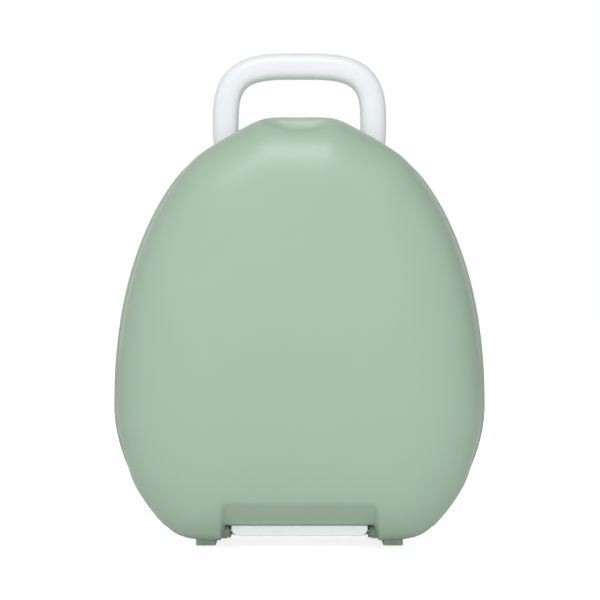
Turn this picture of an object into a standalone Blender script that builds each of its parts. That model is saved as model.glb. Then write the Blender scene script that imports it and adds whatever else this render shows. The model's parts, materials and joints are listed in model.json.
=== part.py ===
"""A carry potty: a potty and seat in an egg-shaped case that closes and is carried by its handle.

The case stands on its wide end with the lid in front. Metres, +Z up, +X to the right seen from
the front, the lid facing -Y. The origin is on the floor, under the middle of the case.
"""

from math import cos, exp, log, pi, radians, sin, sqrt

import bmesh
import bpy
from mathutils import Matrix, Vector

MM = 0.001

# Outline of the case, seen from the front: an egg with its wide end down.
EGG_HALF_WIDTH = 143.1 * MM
EGG_WIDEST_Z = 107.4 * MM
EGG_ABOVE = 226.0 * MM
EGG_BELOW = 138.9 * MM
EGG_POWER_ABOVE = 2.16
EGG_POWER_BELOW = 1.85
CASE_FLOOR_Z = 5.4 * MM
CASE_TOP_Z = 329.8 * MM
CORNER_SOFTNESS = 5.0 * MM

# Straight shoulders from the top down: their slope, and how far they pass from the hub.
SHOULDER_DEG = 29.7
SHOULDER_REACH = 179.0 * MM
SHOULDER_SOFTNESS = 2.5 * MM

# Every ring of the case is drawn round this height, with this many corners.
HUB_Z = 140.0 * MM
COLUMNS = 56

# Depths along Y.
PARTING_Y = -34.5 * MM
LID_DEPTH = 48.0 * MM
LID_SKIRT = 6.0 * MM
BACK_Y = 80.0 * MM
PAD_PROUD = 2.5 * MM
HALF_GAP = 0.3 * MM

# Walls and fits.
LID_WALL = 2.4 * MM
BASE_WALL = 3.0 * MM
LINER_WALL = 2.0 * MM
BOWL_WALL = 2.2 * MM
FIT = 0.3 * MM

# The bead round the base stands proud of the lid along the sides.
BEAD_PROUD = 3.2 * MM
BEAD_DEPTH = 5.0 * MM

# Hinge at the foot of the case.
HINGE_Z = 12.3 * MM
PIN_RADIUS = 2.0 * MM
PIN_BORE = 2.35 * MM
BARREL_RADIUS = 3.8 * MM
BARREL_HALF = 52.4 * MM
KNUCKLE_RADIUS = 4.4 * MM
KNUCKLE_START = 53.2 * MM
KNUCKLE_END = 82.0 * MM
PIN_HALF = 62.0 * MM
NOTCH_HALF = 58.0 * MM
NOTCH_RIM_Z = 17.5 * MM
NOTCH_LIP_Y = PARTING_Y - 22.0 * MM
NOTCH_LIP_Z = 19.6 * MM
NOTCH_TOP_Z = 38.0 * MM
TONGUE_FRONT_Y = PARTING_Y - 23.0 * MM
TONGUE_UNDER_Z = 11.2 * MM
LOBE_RELIEF = 15.5 * MM
ARCH_Z = 8.2 * MM
ARCH_BACK_Y = -13.5 * MM

# Seat flange, where lid and base close on each other.
FLANGE_LOW_Z = 21.0 * MM
FLANGE_HIGH_Z = 267.5 * MM
FLANGE_WIDTH = 16.0 * MM
SEAL_INSET = 5.5 * MM
SEAL_WIDTH = 5.0 * MM

# Bowl.
BOWL_HALF_X = 76.0 * MM
BOWL_HALF_Z = 92.0 * MM
BOWL_FLOOR_Y = 61.0 * MM
SPLASH_HEIGHT = 22.0 * MM
SPLASH_SPREAD_DEG = 30.0

# Feet under the case, and pads behind it.
FOOT_X = (64.5 * MM, 79.8 * MM)
FOOT_Y = (-33.0 * MM, 55.0 * MM)
PAD_RADIUS = 9.0 * MM
PAD_X = 52.0 * MM
PAD_Z = (95.0 * MM, 205.0 * MM)
PAD_SEAT = 0.7 * MM

# Screws from the back of the base into the bowl.
BOWL_SCREW_X = 34.0 * MM
BOWL_SCREW_Z = (106.0 * MM, 174.0 * MM)
SCREW_RADIUS = 1.6 * MM
SCREW_HEAD_RADIUS = 3.4 * MM
SCREW_HEAD_HEIGHT = 2.2 * MM

# Handle, a hollow bow in two halves, and the slots that its legs swing in.
HANDLE_Y = -19.5 * MM
HANDLE_PIVOT_Z = 288.0 * MM
HANDLE_SPRING_Z = 323.0 * MM
HANDLE_HALF_SPAN = 57.5 * MM
HANDLE_RISE = 48.5 * MM
HANDLE_CORNER_POWER = 3.5
HANDLE_HALF_WIDTH = 10.1 * MM
HANDLE_HALF_DEPTH = 8.5 * MM
HANDLE_WALL = 2.6 * MM
HANDLE_TAPER = 5.2
HANDLE_PIN_RADIUS = 2.2 * MM
HANDLE_PIN_BORE = 2.6 * MM
SLOT_X = (40.3 * MM, 68.5 * MM)
SLOT_FLOOR_Z = 274.0 * MM
SLOT_BACK_Y = 62.0 * MM
SLOT_BACK_Z = 298.0 * MM
SLOT_TURN_Y = -8.0 * MM
SLOT_WALL = 3.0 * MM

GREEN = (0.407, 0.546, 0.418)
WHITE = (0.87, 0.9, 0.92)
SILICONE = (0.62, 0.68, 0.64)
RUBBER = (0.045, 0.05, 0.047)
STEEL = (0.6, 0.6, 0.6)


# ---------------------------------------------------------------- scene and finishing

def clear_scene():
    for thing in list(bpy.data.objects):
        bpy.data.objects.remove(thing, do_unlink=True)


def new_collection(name):
    collection = bpy.data.collections.new(name)
    bpy.context.scene.collection.children.link(collection)
    return collection


def new_material(name, colour, roughness, metallic=0.0):
    material = bpy.data.materials.new(name)
    material.use_nodes = True
    shader = material.node_tree.nodes["Principled BSDF"]
    shader.inputs["Base Color"].default_value = (*colour, 1.0)
    shader.inputs["Roughness"].default_value = roughness
    shader.inputs["Metallic"].default_value = metallic
    return material


def object_from_bmesh(name, mesh_data):
    bmesh.ops.recalc_face_normals(mesh_data, faces=mesh_data.faces)
    mesh = bpy.data.meshes.new(name)
    mesh_data.to_mesh(mesh)
    mesh_data.free()
    made = bpy.data.objects.new(name, mesh)
    bpy.context.scene.collection.objects.link(made)
    return made


def bake(thing):
    """Turn the object's modifiers and transform into plain mesh."""
    bpy.context.view_layer.update()
    evaluated = thing.evaluated_get(bpy.context.evaluated_depsgraph_get())
    mesh = bpy.data.meshes.new_from_object(evaluated)
    mesh.transform(thing.matrix_world)
    thing.modifiers.clear()
    thing.matrix_world = Matrix.Identity(4)
    thing.data = mesh
    return thing


def combine(target, tool, operation):
    """Cut, join or intersect target with tool, and use the tool up."""
    boolean = target.modifiers.new(operation.title(), "BOOLEAN")
    boolean.operation = operation
    boolean.solver = "EXACT"
    boolean.object = tool
    bake(target)
    bpy.data.objects.remove(tool, do_unlink=True)
    return target


def cut(target, *tools):
    for tool in tools:
        combine(target, tool, "DIFFERENCE")
    return target


def join(target, *tools):
    for tool in tools:
        combine(target, tool, "UNION")
    return target


def common(target, tool):
    return combine(target, tool, "INTERSECT")


def finish(thing, name, material, collection, origin=(0.0, 0.0, 0.0), sharp_deg=35.0):
    """Name the piece, give it its material and put its origin at the given point."""
    thing.name = name
    thing.data.name = name
    thing.data.materials.clear()
    thing.data.materials.append(material)
    thing.data.shade_smooth()
    thing.data.set_sharp_from_angle(angle=radians(sharp_deg))
    thing.data.transform(Matrix.Translation(-Vector(origin)))
    thing.location = origin
    for holder in list(thing.users_collection):
        holder.objects.unlink(thing)
    collection.objects.link(thing)
    return thing


# ---------------------------------------------------------------- simple solids

def box(low, high):
    """A block between two corners."""
    mesh_data = bmesh.new()
    size = Vector(high) - Vector(low)
    middle = (Vector(high) + Vector(low)) / 2
    place = Matrix.Translation(middle) @ Matrix.Diagonal((*size, 1.0))
    bmesh.ops.create_cube(mesh_data, size=1.0, matrix=place)
    return object_from_bmesh("block", mesh_data)


def rod(axis, start, end, radius, sides=16):
    """A cylinder along X or Y from start, a point, to end, a distance on that axis."""
    length = end - start["XYZ".index(axis)]
    turn = Matrix.Rotation(radians(90), 4, "Y" if axis == "X" else "X")
    step = Vector((length / 2, 0, 0)) if axis == "X" else Vector((0, length / 2, 0))
    mesh_data = bmesh.new()
    bmesh.ops.create_cone(
        mesh_data,
        cap_ends=True,
        segments=sides,
        radius1=radius,
        radius2=radius,
        depth=abs(length),
        matrix=Matrix.Translation(Vector(start) + step) @ turn,
    )
    return object_from_bmesh("rod", mesh_data)


def prism(left, right, outline):
    """A flat outline of (y, z) points, drawn out along X."""
    mesh_data = bmesh.new()
    face = mesh_data.faces.new([mesh_data.verts.new((left, y, z)) for y, z in outline])
    swept = bmesh.ops.extrude_face_region(mesh_data, geom=[face])
    moved = [item for item in swept["geom"] if isinstance(item, bmesh.types.BMVert)]
    bmesh.ops.translate(mesh_data, verts=moved, vec=(right - left, 0, 0))
    return object_from_bmesh("prism", mesh_data)


def turned(name, profile, steps):
    """A solid turned round Z from (radius, z) points, listed top to bottom."""
    mesh = bpy.data.meshes.new(name)
    edges = [(i, i + 1) for i in range(len(profile) - 1)]
    mesh.from_pydata([(r, 0, z) for r, z in profile], edges, [])
    made = bpy.data.objects.new(name, mesh)
    bpy.context.scene.collection.objects.link(made)
    lathe = made.modifiers.new("Lathe", "SCREW")
    lathe.steps = steps
    lathe.render_steps = steps
    lathe.use_merge_vertices = True
    lathe.merge_threshold = 0.00002
    return made


# ---------------------------------------------------------------- outlines

def smooth_step(low, high, value):
    t = min(1.0, max(0.0, (value - low) / (high - low)))
    return t * t * (3 - 2 * t)


def soft_min(first, second, softness):
    return -softness * log(exp(-first / softness) + exp(-second / softness))


def egg_reach(angle):
    """Distance from the hub to the egg in one direction, by halving."""
    near, far = 0.0, 0.4
    for _ in range(40):
        reach = (near + far) / 2
        x = abs(reach * cos(angle)) / EGG_HALF_WIDTH
        rise = HUB_Z + reach * sin(angle) - EGG_WIDEST_Z
        height, power = (EGG_ABOVE, EGG_POWER_ABOVE) if rise > 0 else (EGG_BELOW, EGG_POWER_BELOW)
        if x**power + (abs(rise) / height) ** power < 1:
            near = reach
        else:
            far = reach
    return near


def column_angles():
    """Half a column off the vertical, so that the sides are mirror images of each other."""
    return [radians(90) + 2 * pi * (k + 0.5) / COLUMNS for k in range(COLUMNS)]


ANGLES = column_angles()
EGG = [egg_reach(angle) for angle in ANGLES]


def shouldered(angle, reach):
    """The egg's upper end, cut to two straight shoulders and a flat top."""
    lean = radians(SHOULDER_DEG)
    slope = sin(lean) * abs(cos(angle)) + cos(lean) * sin(angle)
    reach = soft_min(reach, SHOULDER_REACH / slope, SHOULDER_SOFTNESS)
    return soft_min(reach, (CASE_TOP_Z - HUB_Z) / sin(angle), SHOULDER_SOFTNESS * 0.6)


def outline(inset=0.0, low=CASE_FLOOR_Z, high=None):
    """Distances from the hub to the egg, flattened at low and at high, pulled in by inset."""
    found = []
    for angle, reach in zip(ANGLES, EGG):
        if sin(angle) > 0.3:
            reach = shouldered(angle, reach)
        reach -= inset
        if sin(angle) < -0.05:
            reach = soft_min(reach, (low - HUB_Z) / sin(angle), CORNER_SOFTNESS)
        if high and sin(angle) > 0.05:
            reach = soft_min(reach, (high - HUB_Z) / sin(angle), CORNER_SOFTNESS)
        found.append(reach)
    return found


def lid_outline(inset=0.0):
    """The case's outline, inside the base's bead along the sides."""
    found = []
    for angle, reach in zip(ANGLES, outline()):
        z = HUB_Z + reach * sin(angle)
        beside_bead = smooth_step(45 * MM, 75 * MM, z) * (1 - smooth_step(280 * MM, 305 * MM, z))
        found.append(reach - BEAD_PROUD * beside_bead - inset)
    return found


def less(reaches, amount):
    return [reach - amount for reach in reaches]


def scaled(reaches, factor):
    return [reach * factor for reach in reaches]


def between(first, second, t):
    return [a + (b - a) * t for a, b in zip(first, second)]


def ellipse(half_x, half_z):
    return [1 / sqrt((cos(a) / half_x) ** 2 + (sin(a) / half_z) ** 2) for a in ANGLES]


def ring(reaches, depths):
    """Points of one ring; depths is one Y for all, or one for each column."""
    if isinstance(depths, float):
        depths = [depths] * COLUMNS
    return [
        (reach * cos(angle), y, HUB_Z + reach * sin(angle))
        for angle, reach, y in zip(ANGLES, reaches, depths)
    ]


def loft(rings, capped=True, looped=False):
    """Skin the rings in order. Capped closes both ends; looped joins the last to the first."""
    mesh_data = bmesh.new()
    rows = [[mesh_data.verts.new(point) for point in points] for points in rings]
    pairs = list(zip(rows, rows[1:]))
    if looped:
        pairs.append((rows[-1], rows[0]))
    for near, far in pairs:
        for k in range(len(near)):
            after = (k + 1) % len(near)
            mesh_data.faces.new((near[k], near[after], far[after], far[k]))
    if capped:
        mesh_data.faces.new(rows[0])
        mesh_data.faces.new(rows[-1])
    return object_from_bmesh("loft", mesh_data)


def dome(reaches, start_y, depth, round_power, deep_power, levels, limit_y=None):
    """Rings of a dome that rises from a ring at start_y by depth, flat past limit_y.

    The levels are degrees, from 0 at the foot of the dome to just short of 90 at its top.
    """
    rings = []
    full = sin(radians(levels[-1])) ** (2 / deep_power)
    for level in levels:
        lean = radians(level)
        y = start_y + depth * sin(lean) ** (2 / deep_power) / full
        if limit_y is not None:
            y = min(y, limit_y)
        rings.append(ring(scaled(reaches, cos(lean) ** (2 / round_power)), y))
    return rings


# ---------------------------------------------------------------- lid

def notch(grown):
    """Room for the hinge under the lid's lip, and a scoop over the lip, moved out by grown."""
    front = PARTING_Y - LID_DEPTH
    scoop = [
        (
            NOTCH_LIP_Y - 20 * MM * t,
            NOTCH_LIP_Z + (NOTCH_TOP_Z - NOTCH_LIP_Z) * t**1.25,
        )
        for t in (0.0, 0.25, 0.5, 0.75, 1.0)
    ]
    shape = [(PARTING_Y + 6 * MM, -9 * MM), (PARTING_Y + 6 * MM, NOTCH_RIM_Z + grown)]
    shape += [(y + grown * 0.4, z + grown) for y, z in scoop]
    shape += [(front - 12 * MM, NOTCH_TOP_Z + 9 * MM + grown), (front - 12 * MM, -9 * MM)]
    return prism(-NOTCH_HALF - grown, NOTCH_HALF + grown, shape)


def lobe_relief(grown):
    """The lid's lower edge stands back from the base, so that it can swing under it."""
    reach = EGG_HALF_WIDTH + 10 * MM
    return box(
        (-reach, PARTING_Y - LOBE_RELIEF - grown, -10 * MM),
        (reach, PARTING_Y + 6 * MM, NOTCH_RIM_Z + grown),
    )


def thumb_dish(grown):
    """A hollow for the thumb in the lid's upper edge."""
    mesh_data = bmesh.new()
    bmesh.ops.create_uvsphere(mesh_data, u_segments=32, v_segments=16, radius=1.0)
    place = Matrix.Translation((0.0, PARTING_Y - 21.0 * MM, 347.0 * MM))
    size = Matrix.Diagonal((46 * MM + grown, 22 * MM + grown, 26 * MM + grown, 1.0))
    bmesh.ops.transform(mesh_data, verts=mesh_data.verts, matrix=place @ size)
    return object_from_bmesh("dish", mesh_data)


def make_lid_shell():
    rim = lid_outline()
    levels = (0, 15, 29, 43, 56, 68, 79)
    skirt_end = PARTING_Y - LID_SKIRT
    rise = LID_DEPTH - LID_SKIRT
    outside = loft([ring(rim, PARTING_Y - HALF_GAP)] + dome(rim, skirt_end, -rise, 5, 2, levels))
    cut(outside, notch(0.0), lobe_relief(0.0), thumb_dish(0.0))
    inner = less(rim, LID_WALL)
    inside = loft([ring(inner, PARTING_Y + 3 * MM)] + dome(inner, skirt_end, LID_WALL - rise, 5, 2, levels))
    cut(inside, notch(LID_WALL), lobe_relief(LID_WALL), thumb_dish(LID_WALL))
    leaf_way = box(
        (-BARREL_HALF - 0.6 * MM, PARTING_Y - 4.6 * MM, 5 * MM),
        (BARREL_HALF + 0.6 * MM, PARTING_Y + 3 * MM, FLANGE_LOW_Z + 5 * MM),
    )
    return cut(outside, inside, leaf_way)


def seat_outline():
    """Outer edge of the flat flange where the bowl and the lid's liner meet."""
    return outline(BASE_WALL + 0.7 * MM, FLANGE_LOW_Z, FLANGE_HIGH_Z)


def liner_outline():
    """The liner's edge, just inside the lid's wall and above the lid's hinge relief."""
    found = []
    for angle, reach in zip(ANGLES, lid_outline(LID_WALL + 0.5 * MM)):
        if sin(angle) < -0.05:
            reach = soft_min(reach, (FLANGE_LOW_Z - HUB_Z) / sin(angle), CORNER_SOFTNESS)
        found.append(reach)
    return found


def thicken(sheet, wall):
    """Give an open sheet its wall, on the side away from its seen face."""
    shell = sheet.modifiers.new("Wall", "SOLIDIFY")
    shell.thickness = wall
    shell.offset = -1.0
    shell.use_even_offset = True
    return bake(sheet)


def facing(sheet, toward):
    """Turn the sheet's normals so that its last face looks along toward."""
    mesh_data = bmesh.new()
    mesh_data.from_mesh(sheet.data)
    mesh_data.faces.ensure_lookup_table()
    largest = max(mesh_data.faces, key=lambda face: len(face.verts))
    if largest.normal.dot(Vector(toward)) < 0:
        bmesh.ops.reverse_faces(mesh_data, faces=mesh_data.faces)
    mesh_data.to_mesh(sheet.data)
    mesh_data.free()
    return sheet


def sheet_of(rings):
    """An open sheet through the rings, closed over at the last one only."""
    sheet = loft(rings, capped=False)
    mesh_data = bmesh.new()
    mesh_data.from_mesh(sheet.data)
    edge = [e for e in mesh_data.edges if e.is_boundary]
    last = {tuple(round(c, 6) for c in point) for point in rings[-1]}
    inner = [e for e in edge if all(tuple(round(c, 6) for c in v.co) in last for v in e.verts)]
    bmesh.ops.contextual_create(mesh_data, geom=inner)
    bmesh.ops.recalc_face_normals(mesh_data, faces=mesh_data.faces)
    mesh_data.to_mesh(sheet.data)
    mesh_data.free()
    return sheet


def make_lid_liner():
    seat = seat_outline()
    face_y = PARTING_Y - 1.2 * MM
    tray = [(16.0, 0.0), (17.0, 1.0), (17.8, 4.0), (20.0, 18.0), (23.5, 27.0), (30.0, 32.0), (42.0, 34.0)]
    rings = [ring(liner_outline(), face_y)]
    rings += [ring(less(seat, inset * MM), face_y - deep * MM) for inset, deep in tray]
    rings.append(ring(scaled(seat, 0.25), face_y - 34.0 * MM))
    liner = thicken(facing(sheet_of(rings), (0, 1, 0)), LINER_WALL)
    leaf = box(
        (-BARREL_HALF, face_y - LINER_WALL, HINGE_Z),
        (BARREL_HALF, face_y - 0.1 * MM, FLANGE_LOW_Z + 4 * MM),
    )
    barrel = rod("X", (-BARREL_HALF, PARTING_Y, HINGE_Z), BARREL_HALF, BARREL_RADIUS)
    bore = rod("X", (-0.1, PARTING_Y, HINGE_Z), 0.1, PIN_BORE)
    join(liner, leaf, barrel, tongue())
    return cut(liner, bore)


def tongue():
    """The flat tongue in front of the hinge's barrel, just under the lid's lip."""
    bevel = 0.8 * MM
    top = NOTCH_LIP_Z - 0.4 * MM
    section = [
        (PARTING_Y, TONGUE_UNDER_Z),
        (PARTING_Y, HINGE_Z + BARREL_RADIUS - 0.2 * MM),
        (PARTING_Y - 5 * MM, NOTCH_RIM_Z),
        (TONGUE_FRONT_Y + bevel, top),
        (TONGUE_FRONT_Y, top - bevel),
        (TONGUE_FRONT_Y, TONGUE_UNDER_Z + bevel),
        (TONGUE_FRONT_Y + bevel, TONGUE_UNDER_Z),
    ]
    return prism(-BARREL_HALF, BARREL_HALF, section)


def make_lid_seal():
    outer = less(seat_outline(), SEAL_INSET)
    inner = less(outer, SEAL_WIDTH)
    middle = less(outer, SEAL_WIDTH / 2)
    back_y = PARTING_Y - 0.9 * MM
    front_y = PARTING_Y + 0.1 * MM
    crest_y = PARTING_Y + 0.45 * MM
    section = [ring(outer, back_y), ring(outer, front_y), ring(middle, crest_y)]
    section += [ring(inner, front_y), ring(inner, back_y)]
    return loft(section, capped=False, looped=True)


# ---------------------------------------------------------------- base

def channel(grown):
    """The way of one handle leg through the base's shoulder, or with grown, its walls too."""
    return [
        (PARTING_Y - 6 * MM, SLOT_FLOOR_Z - grown),
        (SLOT_TURN_Y + grown * 0.3, SLOT_FLOOR_Z - grown),
        (SLOT_BACK_Y + 3 * grown, SLOT_BACK_Z - grown * 0.2),
        (SLOT_BACK_Y + 3 * grown, 345 * MM),
        (PARTING_Y - 6 * MM, 345 * MM),
    ]


def base_dome(reaches, start_y, back_y):
    """The deep dome of the base, cut flat at its back."""
    levels = (0, 14, 28, 41, 53, 65, 77)
    return dome(reaches, start_y, back_y + 2.6 * MM - start_y, 5, 2.4, levels, back_y)


def arch(grown):
    """The base's floor is raised behind the hinge bar, or with grown, the wall over it too."""
    return box(
        (-KNUCKLE_START - grown, PARTING_Y - 10 * MM, -5 * MM),
        (KNUCKLE_START + grown, ARCH_BACK_Y + grown, ARCH_Z + grown),
    )


def make_base_shell():
    edge = outline()
    lip = [ring(edge, PARTING_Y + HALF_GAP), ring(edge, PARTING_Y + BEAD_DEPTH)]
    outside = loft(lip + base_dome(outline(BEAD_PROUD), PARTING_Y + BEAD_DEPTH + 1.5 * MM, BACK_Y))
    for side in (-1, 1):
        low_x, high_x = sorted((side * FOOT_X[0], side * FOOT_X[1]))
        join(outside, box((low_x, FOOT_Y[0], 0.0), (high_x, FOOT_Y[1], 45 * MM)))
        knuckle_start = (side * KNUCKLE_START, PARTING_Y, HINGE_Z)
        join(outside, rod("X", knuckle_start, side * KNUCKLE_END, KNUCKLE_RADIUS))

    mouth = outline(BASE_WALL, FLANGE_LOW_Z - 0.6 * MM, FLANGE_HIGH_Z + 0.6 * MM)
    behind_deck = outline(BEAD_PROUD + BASE_WALL, FLANGE_LOW_Z - 0.6 * MM)
    front = [
        ring(mouth, PARTING_Y - 3 * MM),
        ring(mouth, PARTING_Y + 3.6 * MM),
        ring(behind_deck, PARTING_Y + 3.8 * MM),
        ring(behind_deck, PARTING_Y + 9.0 * MM),
    ]
    inner = outline(BEAD_PROUD + BASE_WALL, CASE_FLOOR_Z + BASE_WALL)
    inside = loft(front + base_dome(inner, PARTING_Y + 9.2 * MM, BACK_Y - BASE_WALL))
    cut(inside, arch(BASE_WALL))
    for side in (-1, 1):
        low_x, high_x = sorted((side * SLOT_X[0], side * SLOT_X[1]))
        cut(inside, prism(low_x - SLOT_WALL, high_x + SLOT_WALL, channel(SLOT_WALL)))
        cut(outside, prism(low_x, high_x, channel(0.0)))
        for z in BOWL_SCREW_Z:
            place = (side * BOWL_SCREW_X, BACK_Y - 8 * MM, z)
            cut(inside, rod("Y", place, BACK_Y, 6 * MM))
    cut(outside, inside)

    for side in (-1, 1):
        bore_start = (side * 30 * MM, HANDLE_Y, HANDLE_PIVOT_Z)
        cut(outside, rod("X", bore_start, side * 80 * MM, HANDLE_PIN_BORE))
        for z in BOWL_SCREW_Z:
            head_start = (side * BOWL_SCREW_X, BACK_Y - 3.6 * MM, z)
            shaft_start = (side * BOWL_SCREW_X, BACK_Y - 12 * MM, z)
            cut(outside, rod("Y", shaft_start, BACK_Y, SCREW_RADIUS + FIT))
            cut(outside, rod("Y", head_start, BACK_Y + 5 * MM, SCREW_HEAD_RADIUS + FIT))
        for z in PAD_Z:
            pad_start = (side * PAD_X, BACK_Y - PAD_SEAT, z)
            cut(outside, rod("Y", pad_start, BACK_Y + 5 * MM, PAD_RADIUS + FIT, 20))
    barrel_way = box(
        (-KNUCKLE_START, PARTING_Y - 10 * MM, -5 * MM),
        (KNUCKLE_START, PARTING_Y + 5.0 * MM, FLANGE_LOW_Z - 2.5 * MM),
    )
    pin_bore = rod("X", (-64 * MM, PARTING_Y, HINGE_Z), 64 * MM, PIN_BORE)
    return cut(outside, barrel_way, arch(0.0), pin_bore)


def angle_from_top(angle):
    return (angle - radians(90) + pi) % (2 * pi) - pi


def make_potty_bowl():
    flange = less(seat_outline(), FLANGE_WIDTH)
    mouth = ellipse(BOWL_HALF_X, BOWL_HALF_Z)
    splash = [exp(-((angle_from_top(angle) / radians(SPLASH_SPREAD_DEG)) ** 2)) for angle in ANGLES]
    face_y = PARTING_Y + 0.8 * MM
    # Across the seat: share of the way from flange to bowl, height over the flange, share of splash.
    saddle = [(0.0, 0.0, 0.0), (0.12, 1.6, 0.06), (0.3, 4.4, 0.5), (0.5, 5.8, 1.0), (0.68, 5.6, 1.0)]
    saddle += [(0.88, 2.4, 0.6), (1.0, -4.0, 0.12)]
    # Down the bowl: share of its mouth, and of its depth.
    well = [(0.96, 0.3), (0.9, 0.62), (0.8, 0.86), (0.62, 1.0), (0.3, 1.0)]
    rings = [ring(seat_outline(), face_y)]
    for share, height, guard in saddle:
        depths = [face_y - height * MM - SPLASH_HEIGHT * guard * s for s in splash]
        rings.append(ring(between(flange, mouth, share), depths))
    well_top = face_y + 4 * MM
    for share, deep in well:
        rings.append(ring(scaled(mouth, share), well_top + (BOWL_FLOOR_Y - well_top) * deep))
    bowl = thicken(facing(sheet_of(rings), (0, -1, 0)), BOWL_WALL)
    for side in (-1, 1):
        for z in BOWL_SCREW_Z:
            boss_start = (side * BOWL_SCREW_X, BOWL_FLOOR_Y + 1.2 * MM, z)
            bore_start = (side * BOWL_SCREW_X, BOWL_FLOOR_Y + 3.6 * MM, z)
            join(bowl, rod("Y", boss_start, BACK_Y - 8.4 * MM, 5 * MM))
            cut(bowl, rod("Y", bore_start, BACK_Y, SCREW_RADIUS + FIT))
    return bowl


def make_back_pad():
    thick = PAD_PROUD + PAD_SEAT - FIT
    edge = 0.8 * MM
    profile = [(0, thick), (PAD_RADIUS - edge, thick), (PAD_RADIUS, thick - edge), (PAD_RADIUS, 0), (0, 0)]
    return turned("pad", profile, 20)


def make_screw(length):
    """A pan-head screw along Z, its head above the origin and its shaft below."""
    head, radius, high = SCREW_HEAD_RADIUS, SCREW_RADIUS, SCREW_HEAD_HEIGHT
    profile = [(0, high), (head * 0.7, high), (head, high * 0.5), (head, 0), (radius, 0)]
    profile += [(radius, -length + radius), (radius * 0.3, -length), (0, -length)]
    return turned("screw", profile, 10)


def make_hinge_pin():
    return rod("X", (-PIN_HALF, PARTING_Y, HINGE_Z), PIN_HALF, PIN_RADIUS)


# ---------------------------------------------------------------- handle

def handle_path(low_z):
    """Centre line from the left leg's foot over the bow to the right leg's foot, as (x, z)."""
    right = []
    bend = 2 / HANDLE_CORNER_POWER
    for k in range(7):
        t = radians(90 * k / 6)
        right.append((HANDLE_HALF_SPAN * cos(t) ** bend, HANDLE_SPRING_Z + HANDLE_RISE * sin(t) ** bend))
    right.reverse()
    for k in range(1, 4):
        drop = (HANDLE_SPRING_Z - low_z) * k / 3
        right.append((HANDLE_HALF_SPAN - HANDLE_TAPER * drop**2, HANDLE_SPRING_Z - drop))
    return [(-x, z) for x, z in reversed(right)] + right[1:]


def handle_solid(shrink, low_z, round_ends):
    """The bow as one solid, drawn in by shrink, its legs ending at or rounded about low_z."""
    path = handle_path(low_z)
    sides = 14
    wide = HANDLE_HALF_WIDTH - shrink
    deep = HANDLE_HALF_DEPTH - shrink
    rings = []
    for i, (x, z) in enumerate(path):
        before = Vector(path[max(i - 1, 0)])
        after = Vector(path[min(i + 1, len(path) - 1)])
        along = (after - before).normalized()
        rings.append(handle_ring(Vector((x, z)), along, wide, deep, sides))
    if round_ends:
        foot_left = []
        foot_right = []
        for part in (0.5, 0.85, 0.98):
            fall = Vector((0, -deep * part))
            thin = deep * sqrt(1 - part**2)
            foot_left.insert(0, handle_ring(Vector(path[0]) + fall, Vector((0, 1)), wide, thin, sides))
            foot_right.append(handle_ring(Vector(path[-1]) + fall, Vector((0, -1)), wide, thin, sides))
        rings = foot_left + rings + foot_right
    return loft(rings)


def handle_ring(centre, along, wide, deep, sides):
    """A rounded section square to along, in the plane of the bow and Y."""
    points = []
    for k in range(sides):
        t = 2 * pi * k / sides
        across = wide * abs(cos(t)) ** 0.8 * (1 if cos(t) > 0 else -1)
        y = deep * abs(sin(t)) ** 0.8 * (1 if sin(t) > 0 else -1)
        points.append((centre.x + along.y * across, HANDLE_Y + y, centre.y - along.x * across))
    return points


HANDLE_SCREWS = (
    (-30.0 * MM, HANDLE_SPRING_Z + HANDLE_RISE - 1.6 * MM),
    (30.0 * MM, HANDLE_SPRING_Z + HANDLE_RISE - 1.6 * MM),
    (-53.4 * MM, 301.5 * MM),
    (53.4 * MM, 301.5 * MM),
)


def make_handle_half(front):
    """One half of the bow, split at the plane of the pivots."""
    bow = handle_solid(0.0, HANDLE_PIVOT_Z, True)
    hollow = handle_solid(HANDLE_WALL, HANDLE_PIVOT_Z + 22 * MM, False)
    for x, z in HANDLE_SCREWS[:2]:
        cut(hollow, rod("Y", (x, HANDLE_Y - 12 * MM, z), HANDLE_Y + 12 * MM, 3.8 * MM, 10))
    cut(bow, hollow)
    for side in (-1, 1):
        bore_start = (side * 35 * MM, HANDLE_Y, HANDLE_PIVOT_Z)
        cut(bow, rod("X", bore_start, side * 75 * MM, HANDLE_PIN_BORE))
    for x, z in HANDLE_SCREWS:
        cut(bow, rod("Y", (x, HANDLE_Y - 5.2 * MM, z), HANDLE_Y + 12 * MM, 1.4 * MM, 10))
        cut(bow, rod("Y", (x, HANDLE_Y + 3.2 * MM, z), HANDLE_Y + 12 * MM, 2.7 * MM, 10))
    near = HANDLE_Y - 30 * MM if front else HANDLE_Y + 0.15 * MM
    far = HANDLE_Y - 0.15 * MM if front else HANDLE_Y + 30 * MM
    return common(bow, box((-0.1, near, 0.2), (0.1, far, 0.42)))


def make_handle_pin():
    """A headed pin along Z, its head at the top."""
    start, end, head = 34 * MM, 73 * MM, 1.5 * MM
    r = HANDLE_PIN_RADIUS
    profile = [(0, end + head), (r + 1.6 * MM, end + head), (r + 1.6 * MM, end), (r, end)]
    profile += [(r, start + 0.6 * MM), (r - 0.6 * MM, start), (0, start)]
    return turned("pin", profile, 14)


def make_handle_screw():
    profile = [(0, 1.6 * MM), (1.7 * MM, 1.6 * MM), (2.2 * MM, 0.9 * MM), (2.2 * MM, 0), (1.0 * MM, 0)]
    profile += [(1.0 * MM, -6.4 * MM), (0.3 * MM, -7.2 * MM), (0, -7.2 * MM)]
    return turned("screw", profile, 10)


def placed(thing, turn, where):
    """Turn a piece made along Z and move it to its place."""
    thing.matrix_world = Matrix.Translation(where) @ turn
    return bake(thing)


# ---------------------------------------------------------------- assembly

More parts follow.
